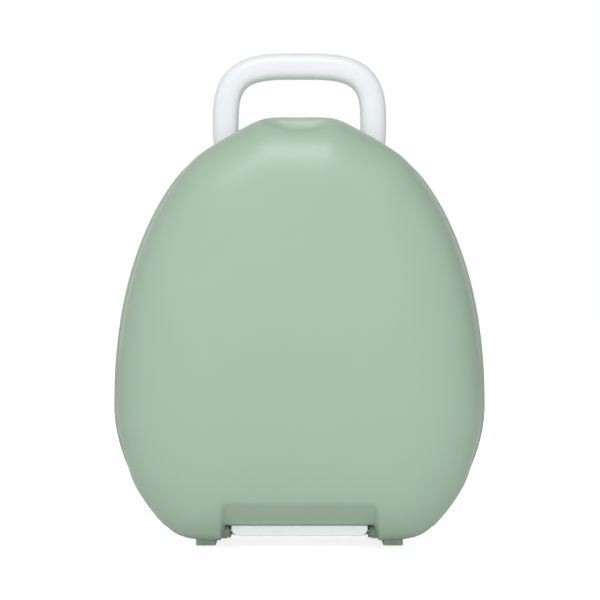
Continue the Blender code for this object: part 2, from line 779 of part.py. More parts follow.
def build():
    clear_scene()
    parts = new_collection("carry_potty")
    green = new_material("shell_green", GREEN, 0.42)
    white = new_material("moulded_white", WHITE, 0.35)
    silicone = new_material("seal_silicone", SILICONE, 0.55)
    rubber = new_material("pad_rubber", RUBBER, 0.8)
    steel = new_material("pin_steel", STEEL, 0.3, 1.0)

    hinge = (0.0, PARTING_Y, HINGE_Z)
    pivot = (0.0, HANDLE_Y, HANDLE_PIVOT_Z)
    to_back = Matrix.Rotation(radians(-90), 4, "X")

    finish(make_base_shell(), "base_shell", green, parts)
    finish(make_potty_bowl(), "potty_bowl", white, parts)
    finish(make_hinge_pin(), "hinge_pin", steel, parts)
    finish(make_lid_shell(), "lid_shell", green, parts, hinge)
    finish(make_lid_liner(), "lid_liner", white, parts, hinge)
    finish(make_lid_seal(), "lid_seal", silicone, parts, hinge)
    finish(make_handle_half(True), "handle_front_half", white, parts, pivot)
    finish(make_handle_half(False), "handle_rear_half", white, parts, pivot)

    for side, word in ((-1, "left"), (1, "right")):
        along_x = Matrix.Rotation(radians(90 * side), 4, "Y")
        pin = placed(make_handle_pin(), along_x, Vector(pivot))
        finish(pin, f"handle_pin_{word}", steel, parts)
        for z, level in zip(PAD_Z, ("lower", "upper")):
            place = Vector((side * PAD_X, BACK_Y - PAD_SEAT + FIT, z))
            finish(placed(make_back_pad(), to_back, place), f"back_pad_{level}_{word}", rubber, parts)
        for z, level in zip(BOWL_SCREW_Z, ("lower", "upper")):
            place = Vector((side * BOWL_SCREW_X, BACK_Y - 3.3 * MM, z))
            finish(placed(make_screw(10 * MM), to_back, place), f"bowl_screw_{level}_{word}", steel, parts)

    names = ("top_left", "top_right", "leg_left", "leg_right")
    for (x, z), word in zip(HANDLE_SCREWS, names):
        screw = placed(make_handle_screw(), to_back, Vector((x, HANDLE_Y + 3.5 * MM, z)))
        finish(screw, f"handle_screw_{word}", steel, parts, pivot)


build()
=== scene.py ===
"""Looks of the carry potty: fine shells, handle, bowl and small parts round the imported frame.

Metres, +Z up, the lid facing -Y. Every piece stands where its CAD node is, and rides on its body.
"""

import json
from math import cos, pi, radians, sin, sqrt

import bmesh
import bpy
import numpy as np
from mathutils import Matrix, Vector


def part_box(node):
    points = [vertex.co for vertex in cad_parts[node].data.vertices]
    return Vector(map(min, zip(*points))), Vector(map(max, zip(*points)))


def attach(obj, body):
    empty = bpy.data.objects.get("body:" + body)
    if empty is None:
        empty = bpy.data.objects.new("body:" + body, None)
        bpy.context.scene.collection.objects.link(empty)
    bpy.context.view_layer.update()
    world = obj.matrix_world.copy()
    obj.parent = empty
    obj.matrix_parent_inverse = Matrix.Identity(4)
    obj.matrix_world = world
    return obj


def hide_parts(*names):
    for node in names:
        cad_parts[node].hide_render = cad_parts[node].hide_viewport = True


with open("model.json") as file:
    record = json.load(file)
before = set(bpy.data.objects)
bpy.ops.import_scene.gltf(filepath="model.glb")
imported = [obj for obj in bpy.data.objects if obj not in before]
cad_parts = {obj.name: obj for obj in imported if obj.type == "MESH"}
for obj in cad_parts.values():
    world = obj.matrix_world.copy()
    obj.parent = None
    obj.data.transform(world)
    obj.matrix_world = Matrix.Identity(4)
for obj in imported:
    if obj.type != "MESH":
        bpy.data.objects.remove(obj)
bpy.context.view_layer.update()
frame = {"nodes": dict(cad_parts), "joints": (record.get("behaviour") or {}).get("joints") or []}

MM = 0.001

# How far a cutting tool runs past the surface that it cuts.
PAST = 5 * MM

JOINTS = {joint["name"]: Vector(joint["pos_m"]) for joint in frame["joints"]}
HINGE = JOINTS["lid_hinge"]
PIVOT = JOINTS["handle_pivot"]

# The egg-shaped outline of the case, its wide end down, and the hub that its rings are drawn round.
EGG_HALF_WIDTH = 143.1 * MM
EGG_WIDEST_Z = 107.4 * MM
EGG_ABOVE = 226.0 * MM
EGG_BELOW = 138.9 * MM
EGG_POWER_ABOVE = 2.16
EGG_POWER_BELOW = 1.85
CASE_FLOOR_Z = 5.4 * MM
CASE_TOP_Z = 329.8 * MM
CORNER_SOFTNESS = 5.0 * MM
HUB_Z = 140.0 * MM

# Columns of points round the hub, and the directions in which they stand closer together.
COLUMNS = 480
DISH_DIRECTION_DEG = 90
NOTCH_SIDES_DEG = (-114.6, -65.4)

# Straight shoulders from the top down: their slope, and how far they pass from the hub.
SHOULDER_DEG = 29.7
SHOULDER_REACH = 179.0 * MM
SHOULDER_SOFTNESS = 2.5 * MM

# Depths, from the frame, and half the gap between lid and base.
PARTING_Y = HINGE.y
FRONT_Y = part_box("lid_shell")[0].y
BACK_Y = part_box("base_shell")[1].y
LID_DEPTH = PARTING_Y - FRONT_Y
LID_SKIRT = 6.0 * MM
HALF_GAP = 0.3 * MM

# A dome's section: share of the outline to the face power, plus share of the depth to the depth power, is 1.
DOME_FACE_POWER = 5
LID_DEPTH_POWER = 2
BASE_DEPTH_POWER = 2.4
DOME_PAST_BACK = 2.6 * MM

# Walls.
LID_WALL = 2.4 * MM
BASE_WALL = 3.0 * MM
LINER_WALL = 2.0 * MM
BOWL_WALL = 2.2 * MM

# The bead round the base's edge, and the heights between which the lid is drawn in to stand inside it.
BEAD_PROUD = 3.2 * MM
BEAD_EDGE = 1.6 * MM
BEAD_HALF_DEPTH = 2.7 * MM
LID_DRAWN_IN_FROM_Z = (45 * MM, 75 * MM)
LID_DRAWN_IN_TO_Z = (280 * MM, 305 * MM)

# The two feet, which run back from the hinge's ears.
FOOT_X = (64.5 * MM, 79.8 * MM)
FOOT_Y = (-33 * MM, 55 * MM)
FOOT_TOP_Z = 45 * MM

# Hinge, the liner's tongue in front of it, and the lid's notch: a lip over the tongue and a scoop over the
# lip. The base's floor is arched behind them, and the lid's two lobes stand back from the base.
PIN_RADIUS = 2.0 * MM
PIN_BORE = 2.35 * MM
BARREL_RADIUS = 3.8 * MM
BARREL_HALF = 52.4 * MM
KNUCKLE_RADIUS = 4.4 * MM
KNUCKLE_START = 53.2 * MM
KNUCKLE_END = 82.0 * MM
NOTCH_HALF = 58.0 * MM
NOTCH_RIM_Z = 17.5 * MM
NOTCH_LIP_Y = PARTING_Y - 22.0 * MM
NOTCH_LIP_Z = 19.6 * MM
NOTCH_TOP_Z = 38.0 * MM
NOTCH_ENDS_Z = 60 * MM
TONGUE_FRONT_Y = PARTING_Y - 23.0 * MM
TONGUE_HALF = 51.4 * MM
TONGUE_UNDER_Z = 11.2 * MM
LOBE_RELIEF = 15.5 * MM
ARCH_Z = 8.2 * MM
ARCH_BACK_Y = -13.5 * MM

# Thumb dish in the lid's upper edge. Its floor is lowest in front, and rises behind and towards its ends.
DISH_FLOOR_Z = 316.6 * MM
DISH_WALL_Y = (PARTING_Y - 12.6 * MM, PARTING_Y - 4.5 * MM)
DISH_RISE = 15.0 * MM
DISH_HALF_X = 33.0 * MM
DISH_STARTS_Z = 290 * MM

# Seat flange and bowl.
FLANGE_LOW_Z = 21.0 * MM
FLANGE_HIGH_Z = 267.5 * MM
FLANGE_WIDTH = 16.0 * MM
SEAT_CLEARANCE = 0.7 * MM
TRAY_DEPTH = 34.0 * MM
BOWL_HALF_X = 76.0 * MM
BOWL_HALF_Z = 92.0 * MM
BOWL_FLOOR_Y = 61.0 * MM
SPLASH_HEIGHT = 22.0 * MM
SPLASH_SPREAD_DEG = 30.0

# Handle, whose legs draw in by the taper times the square of the drop, and the slots that they swing in.
HANDLE_SPRING_Z = 323.0 * MM
HANDLE_HALF_SPAN = 57.5 * MM
HANDLE_RISE = 48.5 * MM
HANDLE_CORNER_POWER = 3.5
HANDLE_HALF_WIDTH = 10.1 * MM
HANDLE_HALF_DEPTH = 8.5 * MM
HANDLE_TAPER = 5.2
HANDLE_PIN_RADIUS = 2.2 * MM
HANDLE_PIN_BORE = 2.6 * MM
SLOT_X = (40.3 * MM, 68.5 * MM)
SLOT_WALL = 3.0 * MM
SLOT_BEND_Y = -8 * MM
SLOT_BACK_Y = 62 * MM
SLOT_FRONT_FLOOR_Z = 274 * MM
SLOT_BACK_FLOOR_Z = 298 * MM
SLOT_OPEN_Z = 345 * MM

# Screws, what they go into, and the seats of the pads in the base's back.
BOWL_SCREW = {"head": 3.4 * MM, "head_high": 2.2 * MM, "radius": 1.6 * MM, "length": 10 * MM}
BOWL_SCREW_BORE = 1.9 * MM
BOWL_BOSS_RADIUS = 5 * MM
BASE_POST_RADIUS = 6 * MM
BASE_POST_HEIGHT = 8 * MM
BASE_HEAD_ROOM = 3.7 * MM
BASE_HEAD_DEPTH = 3.6 * MM
HANDLE_SCREW = {"head": 2.2 * MM, "head_high": 1.6 * MM, "radius": 1.0 * MM, "length": 7.2 * MM}
HANDLE_SCREW_BORE = 1.4 * MM
HANDLE_HEAD_ROOM = 2.7 * MM
PAD_RADIUS = 9.0 * MM
PAD_ROOM = 9.3 * MM
PAD_SEAT = 0.7 * MM

# Left and right of the middle, along X.
SIDES = (-1, 1)

# Light: the sky's mean level, the way that it brightens, what is added straight behind, and the two floors.
SKY_MEAN = 0.355
SKY_SLOPE = (-0.15, -0.37, 0.0)
SKY_BEHIND = 1.0
FLOOR_GLOW = 0.8
FLOOR_BOUNCE = 0.85


# ---------------------------------------------------------------- numbers

def smooth_step(low, high, value):
    t = np.clip((value - low) / (high - low), 0.0, 1.0)
    return t * t * (3 - 2 * t)


def soft_min(first, second, softness):
    return -softness * np.logaddexp(-first / softness, -second / softness)


def soft_max(first, second, softness):
    return softness * np.logaddexp(first / softness, second / softness)


def column_angles():
    """Angles round the hub, closer together at the thumb dish and at the notch's two sides."""
    fine = np.radians(np.linspace(-90, 270, 7201))
    dish_spread_deg, dish_weight = 16, 2
    notch_spread_deg, notch_weight = 8, 3.5

    def near(centre_deg, half_deg, weight):
        """How much denser the columns stand within half_deg of a direction."""
        away = np.abs((fine - radians(centre_deg) + pi) % (2 * pi) - pi)
        return weight * (1 - smooth_step(half_deg * 0.6, half_deg, np.degrees(away)))

    density = 1 + near(DISH_DIRECTION_DEG, dish_spread_deg, dish_weight)
    for notch_side in NOTCH_SIDES_DEG:
        density = density + near(notch_side, notch_spread_deg, notch_weight)
    total = np.concatenate([[0], np.cumsum((density[1:] + density[:-1]) / 2)])
    return np.interp(np.arange(COLUMNS) / COLUMNS * total[-1], total, fine)


def egg_reach(angles):
    """Distance from the hub to the egg in each direction, by halving."""
    beyond = 0.4
    near = np.zeros_like(angles)
    far = np.full_like(angles, beyond)
    for _ in range(40):
        reach = (near + far) / 2
        x = np.abs(reach * np.cos(angles)) / EGG_HALF_WIDTH
        rise = HUB_Z + reach * np.sin(angles) - EGG_WIDEST_Z
        height = np.where(rise > 0, EGG_ABOVE, EGG_BELOW)
        power = np.where(rise > 0, EGG_POWER_ABOVE, EGG_POWER_BELOW)
        inside = x**power + (np.abs(rise) / height) ** power < 1
        near = np.where(inside, reach, near)
        far = np.where(inside, far, reach)
    return near


ANGLES = column_angles()
EGG = egg_reach(ANGLES)
SIN = np.sin(ANGLES)
COS = np.cos(ANGLES)


def flattened(reach, low=None, high=None):
    """The outline cut flat at the heights low and high, with soft corners."""
    least_slope = 0.05
    if low is not None:
        plane = (low - HUB_Z) / np.minimum(SIN, -least_slope)
        reach = np.where(SIN < -least_slope, soft_min(reach, plane, CORNER_SOFTNESS), reach)
    if high is not None:
        plane = (high - HUB_Z) / np.maximum(SIN, least_slope)
        reach = np.where(SIN > least_slope, soft_min(reach, plane, CORNER_SOFTNESS), reach)
    return reach


def shouldered(reach):
    """The egg's upper end, cut to two straight shoulders and a flat top."""
    lean = radians(SHOULDER_DEG)
    least_slope = 0.3
    up = np.maximum(SIN, least_slope)
    slope = sin(lean) * np.abs(COS) + cos(lean) * up
    cut_reach = soft_min(reach, SHOULDER_REACH / slope, SHOULDER_SOFTNESS)
    cut_reach = soft_min(cut_reach, (CASE_TOP_Z - HUB_Z) / up, SHOULDER_SOFTNESS * 0.6)
    return np.where(SIN > least_slope, cut_reach, reach)


def outline(inset=0.0, low=CASE_FLOOR_Z, high=None):
    return flattened(shouldered(EGG) - inset, low, high)


def lid_outline(inset=0.0):
    """The case's outline, drawn in along the sides to stand inside the base's bead."""
    reach = outline()
    z = HUB_Z + reach * SIN
    beside = smooth_step(*LID_DRAWN_IN_FROM_Z, z) * (1 - smooth_step(*LID_DRAWN_IN_TO_Z, z))
    return reach - BEAD_PROUD * beside - inset


def seat_outline():
    return outline(BASE_WALL + SEAT_CLEARANCE, FLANGE_LOW_Z, FLANGE_HIGH_Z)


def ellipse(half_x, half_z):
    return 1 / np.sqrt((COS / half_x) ** 2 + (SIN / half_z) ** 2)


def ring(reach, y):
    return np.stack([reach * COS, np.zeros(COLUMNS) + y, HUB_Z + reach * SIN], axis=1)


def dome_profile(depth, depth_power, count):
    """Share of the outline and rise of each ring of a dome, closest together at its foot.

    The last ring stops a little short of the middle.
    """
    reached = 0.985
    lean = np.linspace(0, pi / 2, 6001)
    share = np.cos(lean) ** (2 / DOME_FACE_POWER)
    rise = depth * np.sin(lean) ** (2 / depth_power)
    steps = np.hypot(np.diff(share) * EGG_HALF_WIDTH, np.diff(rise))
    along = np.concatenate([[0], np.cumsum(steps)])
    marks = along[-1] * reached * np.linspace(0, 1, count) ** 1.5
    return np.interp(marks, along, share), np.interp(marks, along, rise)


def refined(rings, per_gap):
    """More rings on a smooth cubic curve through the given ones, in each column."""
    rings = np.asarray(rings)
    gaps = np.linalg.norm(np.diff(rings, axis=0), axis=2).mean(axis=1)
    at = np.concatenate([[0], np.cumsum(gaps)])
    slope = np.gradient(rings, at, axis=0)
    rows = []
    for k, gap in enumerate(gaps):
        for t in np.arange(per_gap) / per_gap:
            bend = (2 * t**3 - 3 * t**2 + 1, t**3 - 2 * t**2 + t, 3 * t**2 - 2 * t**3, t**3 - t**2)
            rows.append(
                bend[0] * rings[k]
                + bend[1] * gap * slope[k]
                + bend[2] * rings[k + 1]
                + bend[3] * gap * slope[k + 1]
            )
    return rows + [rings[-1]]


# ---------------------------------------------------------------- meshes

def object_of(name, mesh):
    made = bpy.data.objects.new(name, mesh)
    bpy.context.scene.collection.objects.link(made)
    return made


def object_from_bmesh(name, mesh_data, outward=True):
    if outward:
        bmesh.ops.recalc_face_normals(mesh_data, faces=mesh_data.faces)
    mesh = bpy.data.meshes.new(name)
    mesh_data.to_mesh(mesh)
    mesh_data.free()
    return object_of(name, mesh)


def skin(name, rows, first=True, last=True, looped=False):
    """A surface through rows of points, each a closed ring; first and last say which ends are closed."""
    grid = np.stack(rows)
    count, width = grid.shape[:2]
    index = np.arange(count * width).reshape(count, width)
    after = np.roll(index, -1, axis=1)
    near, far = slice(0, count - 1), slice(1, count)
    quads = np.stack([index[near], after[near], after[far], index[far]], axis=-1).reshape(-1, 4)
    faces = quads.tolist()
    if looped:
        faces += np.stack([index[-1], after[-1], after[0], index[0]], axis=-1).tolist()
    if first:
        faces.append(index[0].tolist())
    if last:
        faces.append(index[-1].tolist())
    mesh = bpy.data.meshes.new(name)
    mesh.from_pydata(grid.reshape(-1, 3).tolist(), [], faces)
    mesh_data = bmesh.new()
    mesh_data.from_mesh(mesh)
    bpy.data.meshes.remove(mesh)
    return object_from_bmesh(name, mesh_data)


def bake(thing):
    """Turn the object's modifiers and transform into plain mesh."""
    bpy.context.view_layer.update()
    evaluated = thing.evaluated_get(bpy.context.evaluated_depsgraph_get())
    mesh = bpy.data.meshes.new_from_object(evaluated)
    mesh.transform(thing.matrix_world)
    thing.modifiers.clear()
    thing.matrix_world = Matrix.Identity(4)
    thing.data = mesh
    return thing


def merged(things):
    """Several separate solids as one object, to cut or join in one go."""
    mesh_data = bmesh.new()
    for thing in things:
        mesh_data.from_mesh(thing.data)
        bpy.data.objects.remove(thing, do_unlink=True)
    return object_from_bmesh("tools", mesh_data, outward=False)


def combine(target, tools, operation):
    tool = merged(tools)
    boolean = target.modifiers.new(operation, "BOOLEAN")
    boolean.operation = operation
    boolean.solver = "EXACT"
    boolean.object = tool
    bake(target)
    bpy.data.objects.remove(tool, do_unlink=True)
    return target


def cut(target, *tools):
    return combine(target, tools, "DIFFERENCE")


def join(target, *tools):
    return combine(target, tools, "UNION")


def box(low, high, edge=0.0):
    """A block between two corners, its edges rounded by edge."""
    size = Vector(high) - Vector(low)
    middle = (Vector(high) + Vector(low)) / 2
    place = Matrix.Translation(middle) @ Matrix.Diagonal((*size, 1.0))
    mesh_data = bmesh.new()
    bmesh.ops.create_cube(mesh_data, size=1.0, matrix=place)
    if edge:
        bmesh.ops.bevel(
            mesh_data,
            geom=list(mesh_data.edges),
            offset=edge,
            segments=5,
            profile=0.5,
            affect="EDGES",
        )
    return object_from_bmesh("block", mesh_data)


def rod(axis, start, end, radius, sides=48, edge=0.0):
    """A cylinder along X or Y from start, a point, to end, a distance on that axis."""
    length = end - start["XYZ".index(axis)]
    turn = Matrix.Rotation(radians(90), 4, "Y" if axis == "X" else "X")
    step = Vector((length / 2, 0, 0)) if axis == "X" else Vector((0, length / 2, 0))
    mesh_data = bmesh.new()
    bmesh.ops.create_cone(
        mesh_data,
        cap_ends=True,
        segments=sides,
        radius1=radius,
        radius2=radius,
        depth=abs(length),
        matrix=Matrix.Translation(Vector(start) + step) @ turn,
    )
    if edge:
        rims = [e for e in mesh_data.edges if any(len(f.verts) > 4 for f in e.link_faces)]
        bmesh.ops.bevel(mesh_data, geom=rims, offset=edge, segments=4, profile=0.5, affect="EDGES")
    return object_from_bmesh("rod", mesh_data)


def prism(left, right, shape):
    """A flat outline of (y, z) points, drawn out along X."""
    mesh_data = bmesh.new()
    face = mesh_data.faces.new([mesh_data.verts.new((left, y, z)) for y, z in shape])
    swept = bmesh.ops.extrude_face_region(mesh_data, geom=[face])
    moved = [item for item in swept["geom"] if isinstance(item, bmesh.types.BMVert)]
    bmesh.ops.translate(mesh_data, verts=moved, vec=(right - left, 0, 0))
    return object_from_bmesh("prism", mesh_data)


def turned(name, profile, steps=64):
    """A solid turned round Z from (radius, z) points, listed top to bottom."""
    mesh = bpy.data.meshes.new(name)
    edges = [(i, i + 1) for i in range(len(profile) - 1)]
    mesh.from_pydata([(r, 0, z) for r, z in profile], edges, [])
    made = object_of(name, mesh)
    lathe = made.modifiers.new("Lathe", "SCREW")
    lathe.steps = steps
    lathe.render_steps = steps
    lathe.use_merge_vertices = True
    lathe.merge_threshold = 0.00001
    return bake(made)


def round_corner(centre_r, centre_z, radius, start_deg, end_deg, count=6):
    """Points of a turned profile round one corner."""
    turns = [radians(start_deg + (end_deg - start_deg) * k / (count - 1)) for k in range(count)]
    return [(centre_r + radius * cos(t), centre_z + radius * sin(t)) for t in turns]


def placed(thing, turn, where):
    thing.matrix_world = Matrix.Translation(where) @ turn
    return bake(thing)


def thicken(sheet, wall, toward):
    """Give an open sheet its wall, behind the side that looks toward the given direction."""
    mesh_data = bmesh.new()
    mesh_data.from_mesh(sheet.data)
    largest = max(mesh_data.faces, key=lambda face: len(face.verts))
    if largest.normal.dot(Vector(toward)) < 0:
        bmesh.ops.reverse_faces(mesh_data, faces=mesh_data.faces)
    mesh_data.to_mesh(sheet.data)
    mesh_data.free()
    shell = sheet.modifiers.new("Wall", "SOLIDIFY")
    shell.thickness = wall
    shell.offset = -1.0
    shell.use_even_offset = True
    return bake(sheet)


def show(thing, name, body, material, nodes, sharp_deg=38.0):
    """Finish a piece: its name, material, smooth faces, body and the CAD nodes it stands for."""
    thing.name = name
    thing.data.name = name
    thing.data.materials.clear()
    thing.data.materials.append(material)
    thing.data.shade_smooth()
    thing.data.set_sharp_from_angle(angle=radians(sharp_deg))
    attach(thing, body)
    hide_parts(*nodes)
    return thing


# ---------------------------------------------------------------- materials

def link_noise(tree, coordinates, scale, detail):
    noise = tree.nodes.new("ShaderNodeTexNoise")
    noise.inputs["Scale"].default_value = scale
    noise.inputs["Detail"].default_value = detail
    tree.links.new(coordinates, noise.inputs["Vector"])
    return noise.outputs["Fac"]


def remap(tree, value, low, high):
    """Stretch the middle of a noise to the range low to high."""
    ramp = tree.nodes.new("ShaderNodeMapRange")
    ramp.inputs["From Min"].default_value = 0.3
    ramp.inputs["From Max"].default_value = 0.7
    ramp.inputs["To Min"].default_value = low
    ramp.inputs["To Max"].default_value = high
    tree.links.new(value, ramp.inputs["Value"])
    return ramp.outputs["Result"]


def moulded(name, colour, tint, roughness, grain, grain_scale, metallic=0.0, sheen=0.0):
    """A moulded surface: faint drift of colour and gloss, and the fine grain of its mould."""
    material = bpy.data.materials.new(name)
    material.use_nodes = True
    tree = material.node_tree
    shader = tree.nodes["Principled BSDF"]
    coordinates = tree.nodes.new("ShaderNodeTexCoord").outputs["Object"]

    drift_scale, gloss_scale = 9.0, 60.0
    drift = remap(tree, link_noise(tree, coordinates, drift_scale, 3.0), 0.0, 1.0)
    mix = tree.nodes.new("ShaderNodeMix")
    mix.data_type = "RGBA"
    mix.inputs["A"].default_value = (*colour, 1.0)
    mix.inputs["B"].default_value = (*tint, 1.0)
    tree.links.new(drift, mix.inputs["Factor"])
    tree.links.new(mix.outputs["Result"], shader.inputs["Base Color"])

    gloss_noise = link_noise(tree, coordinates, gloss_scale, 4.0)
    gloss = remap(tree, gloss_noise, roughness - 0.02, roughness + 0.02)
    tree.links.new(gloss, shader.inputs["Roughness"])

    bump = tree.nodes.new("ShaderNodeBump")
    bump.inputs["Strength"].default_value = grain
    bump.inputs["Distance"].default_value = 0.0001
    tree.links.new(link_noise(tree, coordinates, grain_scale, 2.0), bump.inputs["Height"])
    tree.links.new(bump.outputs["Normal"], shader.inputs["Normal"])

    shader.inputs["Metallic"].default_value = metallic
    shader.inputs["Sheen Weight"].default_value = sheen
    return material


GREEN = moulded(
    "satin_green",
    colour=(0.352, 0.478, 0.364),
    tint=(0.359, 0.485, 0.371),
    roughness=0.3,
    grain=0.08,
    grain_scale=1400.0,
)
WHITE = moulded(
    "smooth_white",
    colour=(0.775, 0.805, 0.83),
    tint=(0.785, 0.81, 0.83),
    roughness=0.3,
    grain=0.05,
    grain_scale=900.0,
)
LINER_WHITE = moulded(
    "liner_white",
    colour=(0.865, 0.915, 0.915),
    tint=(0.875, 0.92, 0.915),
    roughness=0.3,
    grain=0.05,
    grain_scale=900.0,
)
SILICONE = moulded(
    "silicone",
    colour=(0.6, 0.66, 0.63),
    tint=(0.57, 0.64, 0.6),
    roughness=0.55,
    grain=0.2,
    grain_scale=2200.0,
    sheen=0.2,
)
RUBBER = moulded(
    "rubber",
    colour=(0.05, 0.055, 0.052),
    tint=(0.062, 0.066, 0.062),
    roughness=0.75,
    grain=0.5,
    grain_scale=2600.0,
)
STEEL = moulded(
    "steel",
    colour=(0.56, 0.57, 0.58),
    tint=(0.6, 0.6, 0.6),
    roughness=0.28,
    grain=0.25,
    grain_scale=3000.0,
    metallic=1.0,
)


# ---------------------------------------------------------------- lid

def notch_floor(y, grown):
    """Height of the lid's underside over the hinge, and of the scoop in front of it, moved out by grown."""
    behind_hinge = PARTING_Y + 6 * MM
    under_length = 28 * MM
    scoop_length = 20 * MM
    y = y - 0.4 * grown
    under = np.clip((behind_hinge - y) / under_length, 0.0, 1.0)
    scoop = np.clip((NOTCH_LIP_Y - y) / scoop_length, 0.0, 1.0)
    rise = (NOTCH_LIP_Z - NOTCH_RIM_Z) * under + (NOTCH_TOP_Z - NOTCH_LIP_Z) * scoop**1.25
    return NOTCH_RIM_Z - 0.2 * MM + rise + grown


def dish_floor(x, y):
    """Height of the thumb dish, which rises behind and towards its two ends."""
    back = np.clip((y - DISH_WALL_Y[0]) / (DISH_WALL_Y[1] - DISH_WALL_Y[0]), 0.0, 1.5)
    side = np.abs(x) / DISH_HALF_X
    return DISH_FLOOR_Z + DISH_RISE * (back**2 + 0.8 * side**2)


def shape_lid(rows, grown):
    """Press the hinge notch and the thumb dish into the lid's rings, each moved out by grown."""
    points = np.stack(rows)
    x, y, z = points[..., 0], points[..., 1], points[..., 2]
    blend = 2.2 * MM
    notch_softness = 1.0 * MM
    dish_softness = 1.4 * MM
    raised = soft_max(z, notch_floor(y, grown), notch_softness)
    inside = 1 - smooth_step(NOTCH_HALF - blend + grown, NOTCH_HALF + blend + grown, np.abs(x))
    z = np.where(z < NOTCH_ENDS_Z, z + inside * (raised - z), z)
    z = np.where(z > DISH_STARTS_Z, soft_min(z, dish_floor(x, y) - grown, dish_softness), z)
    return list(np.stack([x, y, z], axis=-1))


def dome_rows(reach, start_y, depth, depth_power, count, flat_y=None):
    """Rings of a dome over the outline reach, forward if depth is below 0, cut flat at flat_y."""
    shares, rises = dome_profile(abs(depth), depth_power, count)
    rows = []
    for share, rise in zip(shares, rises):
        y = start_y + rise * (1 if depth > 0 else -1)
        if flat_y is not None:
            y = float(soft_min(np.array(y), np.array(flat_y), 0.35 * MM))
        rows.append(ring(reach * share, y))
    return rows


def make_lid_shell():
    """A shell with a rounded rim, relieved behind its two lobes and over the hinge's leaf."""
    leaf_room = 0.6 * MM
    rim = lid_outline()
    rim_y = PARTING_Y - HALF_GAP
    edge = 1.1 * MM
    outer = []
    for turn in np.radians(np.linspace(0, 90, 6)):
        outer.append(ring(rim - edge * (1 - sin(turn)), rim_y - edge * (1 - cos(turn))))
    skirt_end = PARTING_Y - LID_SKIRT
    rise = LID_DEPTH - LID_SKIRT
    outer += [ring(rim, rim_y - (LID_SKIRT - HALF_GAP) * t) for t in (0.4, 0.7)]
    outer += dome_rows(rim, skirt_end, -rise, LID_DEPTH_POWER, 70)
    inner_rim = rim - LID_WALL
    inner = [ring(inner_rim, rim_y), ring(inner_rim, rim_y - 0.5 * LID_SKIRT)]
    inner += dome_rows(inner_rim, skirt_end, LID_WALL - rise, LID_DEPTH_POWER, 40)
    rows = shape_lid(outer[::-1], 0.0) + shape_lid(inner, LID_WALL)
    lid = skin("lid_shell_fine", rows)
    reach = EGG_HALF_WIDTH + 10 * MM
    relief = box(
        (-reach, PARTING_Y - LOBE_RELIEF, -10 * MM),
        (reach, PARTING_Y + 6 * MM, NOTCH_RIM_Z),
    )
    leaf_way = box(
        (-BARREL_HALF - leaf_room, PARTING_Y - 4.6 * MM, NOTCH_RIM_Z - 1 * MM),
        (BARREL_HALF + leaf_room, PARTING_Y + 3 * MM, FLANGE_LOW_Z + 5 * MM),
    )
    cut(lid, relief)
    return cut(lid, leaf_way)


def make_lid_liner():
    """The flange, the tray and the hinge bar. The tray is given by how far in and how deep its rings lie."""
    seat = seat_outline()
    mouth_inset = 16 * MM
    room = 0.5 * MM
    edge = flattened(lid_outline(LID_WALL + room), low=FLANGE_LOW_Z)
    face_y = PARTING_Y - 1.2 * MM
    tray = [(16.0, 0.0), (16.9, 0.5), (17.5, 1.8), (18.0, 5.0), (20.0, 18.0), (22.6, 26.0)]
    tray += [(27.0, 30.8), (33.0, 33.2), (42.0, 34.0)]
    flange = [ring(edge, face_y), ring(edge + (seat - mouth_inset - edge) * 0.5, face_y)]
    rings = [ring(seat - inset * MM, face_y - deep * MM) for inset, deep in tray]
    rings += [ring(seat * share, face_y - TRAY_DEPTH) for share in (0.45, 0.2, 0.03)]
    liner = thicken(skin("lid_liner_fine", flange + refined(rings, 5), first=False), LINER_WALL, (0, 1, 0))
    leaf = box(
        (-BARREL_HALF, face_y - LINER_WALL, HINGE.z),
        (BARREL_HALF, face_y - 0.1 * MM, FLANGE_LOW_Z + 4 * MM),
    )
    join(liner, leaf)
    join(liner, make_hinge_bar())
    return cut(liner, rod("X", (-0.1, HINGE.y, HINGE.z), 0.1, PIN_BORE))


def make_hinge_bar():
    """The hinge's barrel and the tongue in front of it, its ends rounded and its lower corners cut off."""
    rows = []
    for x, inset in bar_ends():
        row = []
        for y, z in bar_section(inset):
            if y < -BARREL_RADIUS:
                z = max(z, bar_underside(x) - HINGE.z)
            row.append((x, HINGE.y + y, HINGE.z + z))
        rows.append(row)
    return skin("bar", rows)


def bar_section(inset):
    """Round behind and flat in front, its long edges rounded, all drawn in by inset."""
    corner = 1.0 * MM
    lip_room = 0.4 * MM
    leaf_y = -5 * MM
    radius = BARREL_RADIUS - inset
    front = TONGUE_FRONT_Y - HINGE.y + inset + corner
    top = NOTCH_LIP_Z - lip_room - HINGE.z - inset - corner
    under = TONGUE_UNDER_Z - HINGE.z + inset + corner
    section = [(radius * cos(t), radius * sin(t)) for t in np.radians(np.linspace(-165, 90, 35))]
    section.append((leaf_y, NOTCH_RIM_Z - HINGE.z - inset))
    for centre_z, start in ((top, 90), (under, 180)):
        for t in np.radians(np.linspace(start, start + 90, 7)):
            section.append((front + corner * cos(t), centre_z + corner * sin(t)))
    return section


def bar_ends():
    """Stations along the bar, each with how far its section is drawn in, its ends rounded."""
    edge = 0.8 * MM
    step = 0.5 * MM
    right = [(0.0, 0.0)]
    right += [(TONGUE_HALF - 4.5 * MM + step * k, 0.0) for k in range(8)]
    for turn in np.radians(np.linspace(15, 90, 6)):
        right.append((TONGUE_HALF - edge * (1 - sin(turn)), edge * (1 - cos(turn))))
    return [(-x, inset) for x, inset in reversed(right)] + right[1:]


def bar_underside(x):
    """The tongue's lowest height, rising at its lower corners."""
    corner_length = 4.0 * MM
    corner_slope = 1.05
    return TONGUE_UNDER_Z + max(0.0, abs(x) - (TONGUE_HALF - corner_length)) * corner_slope


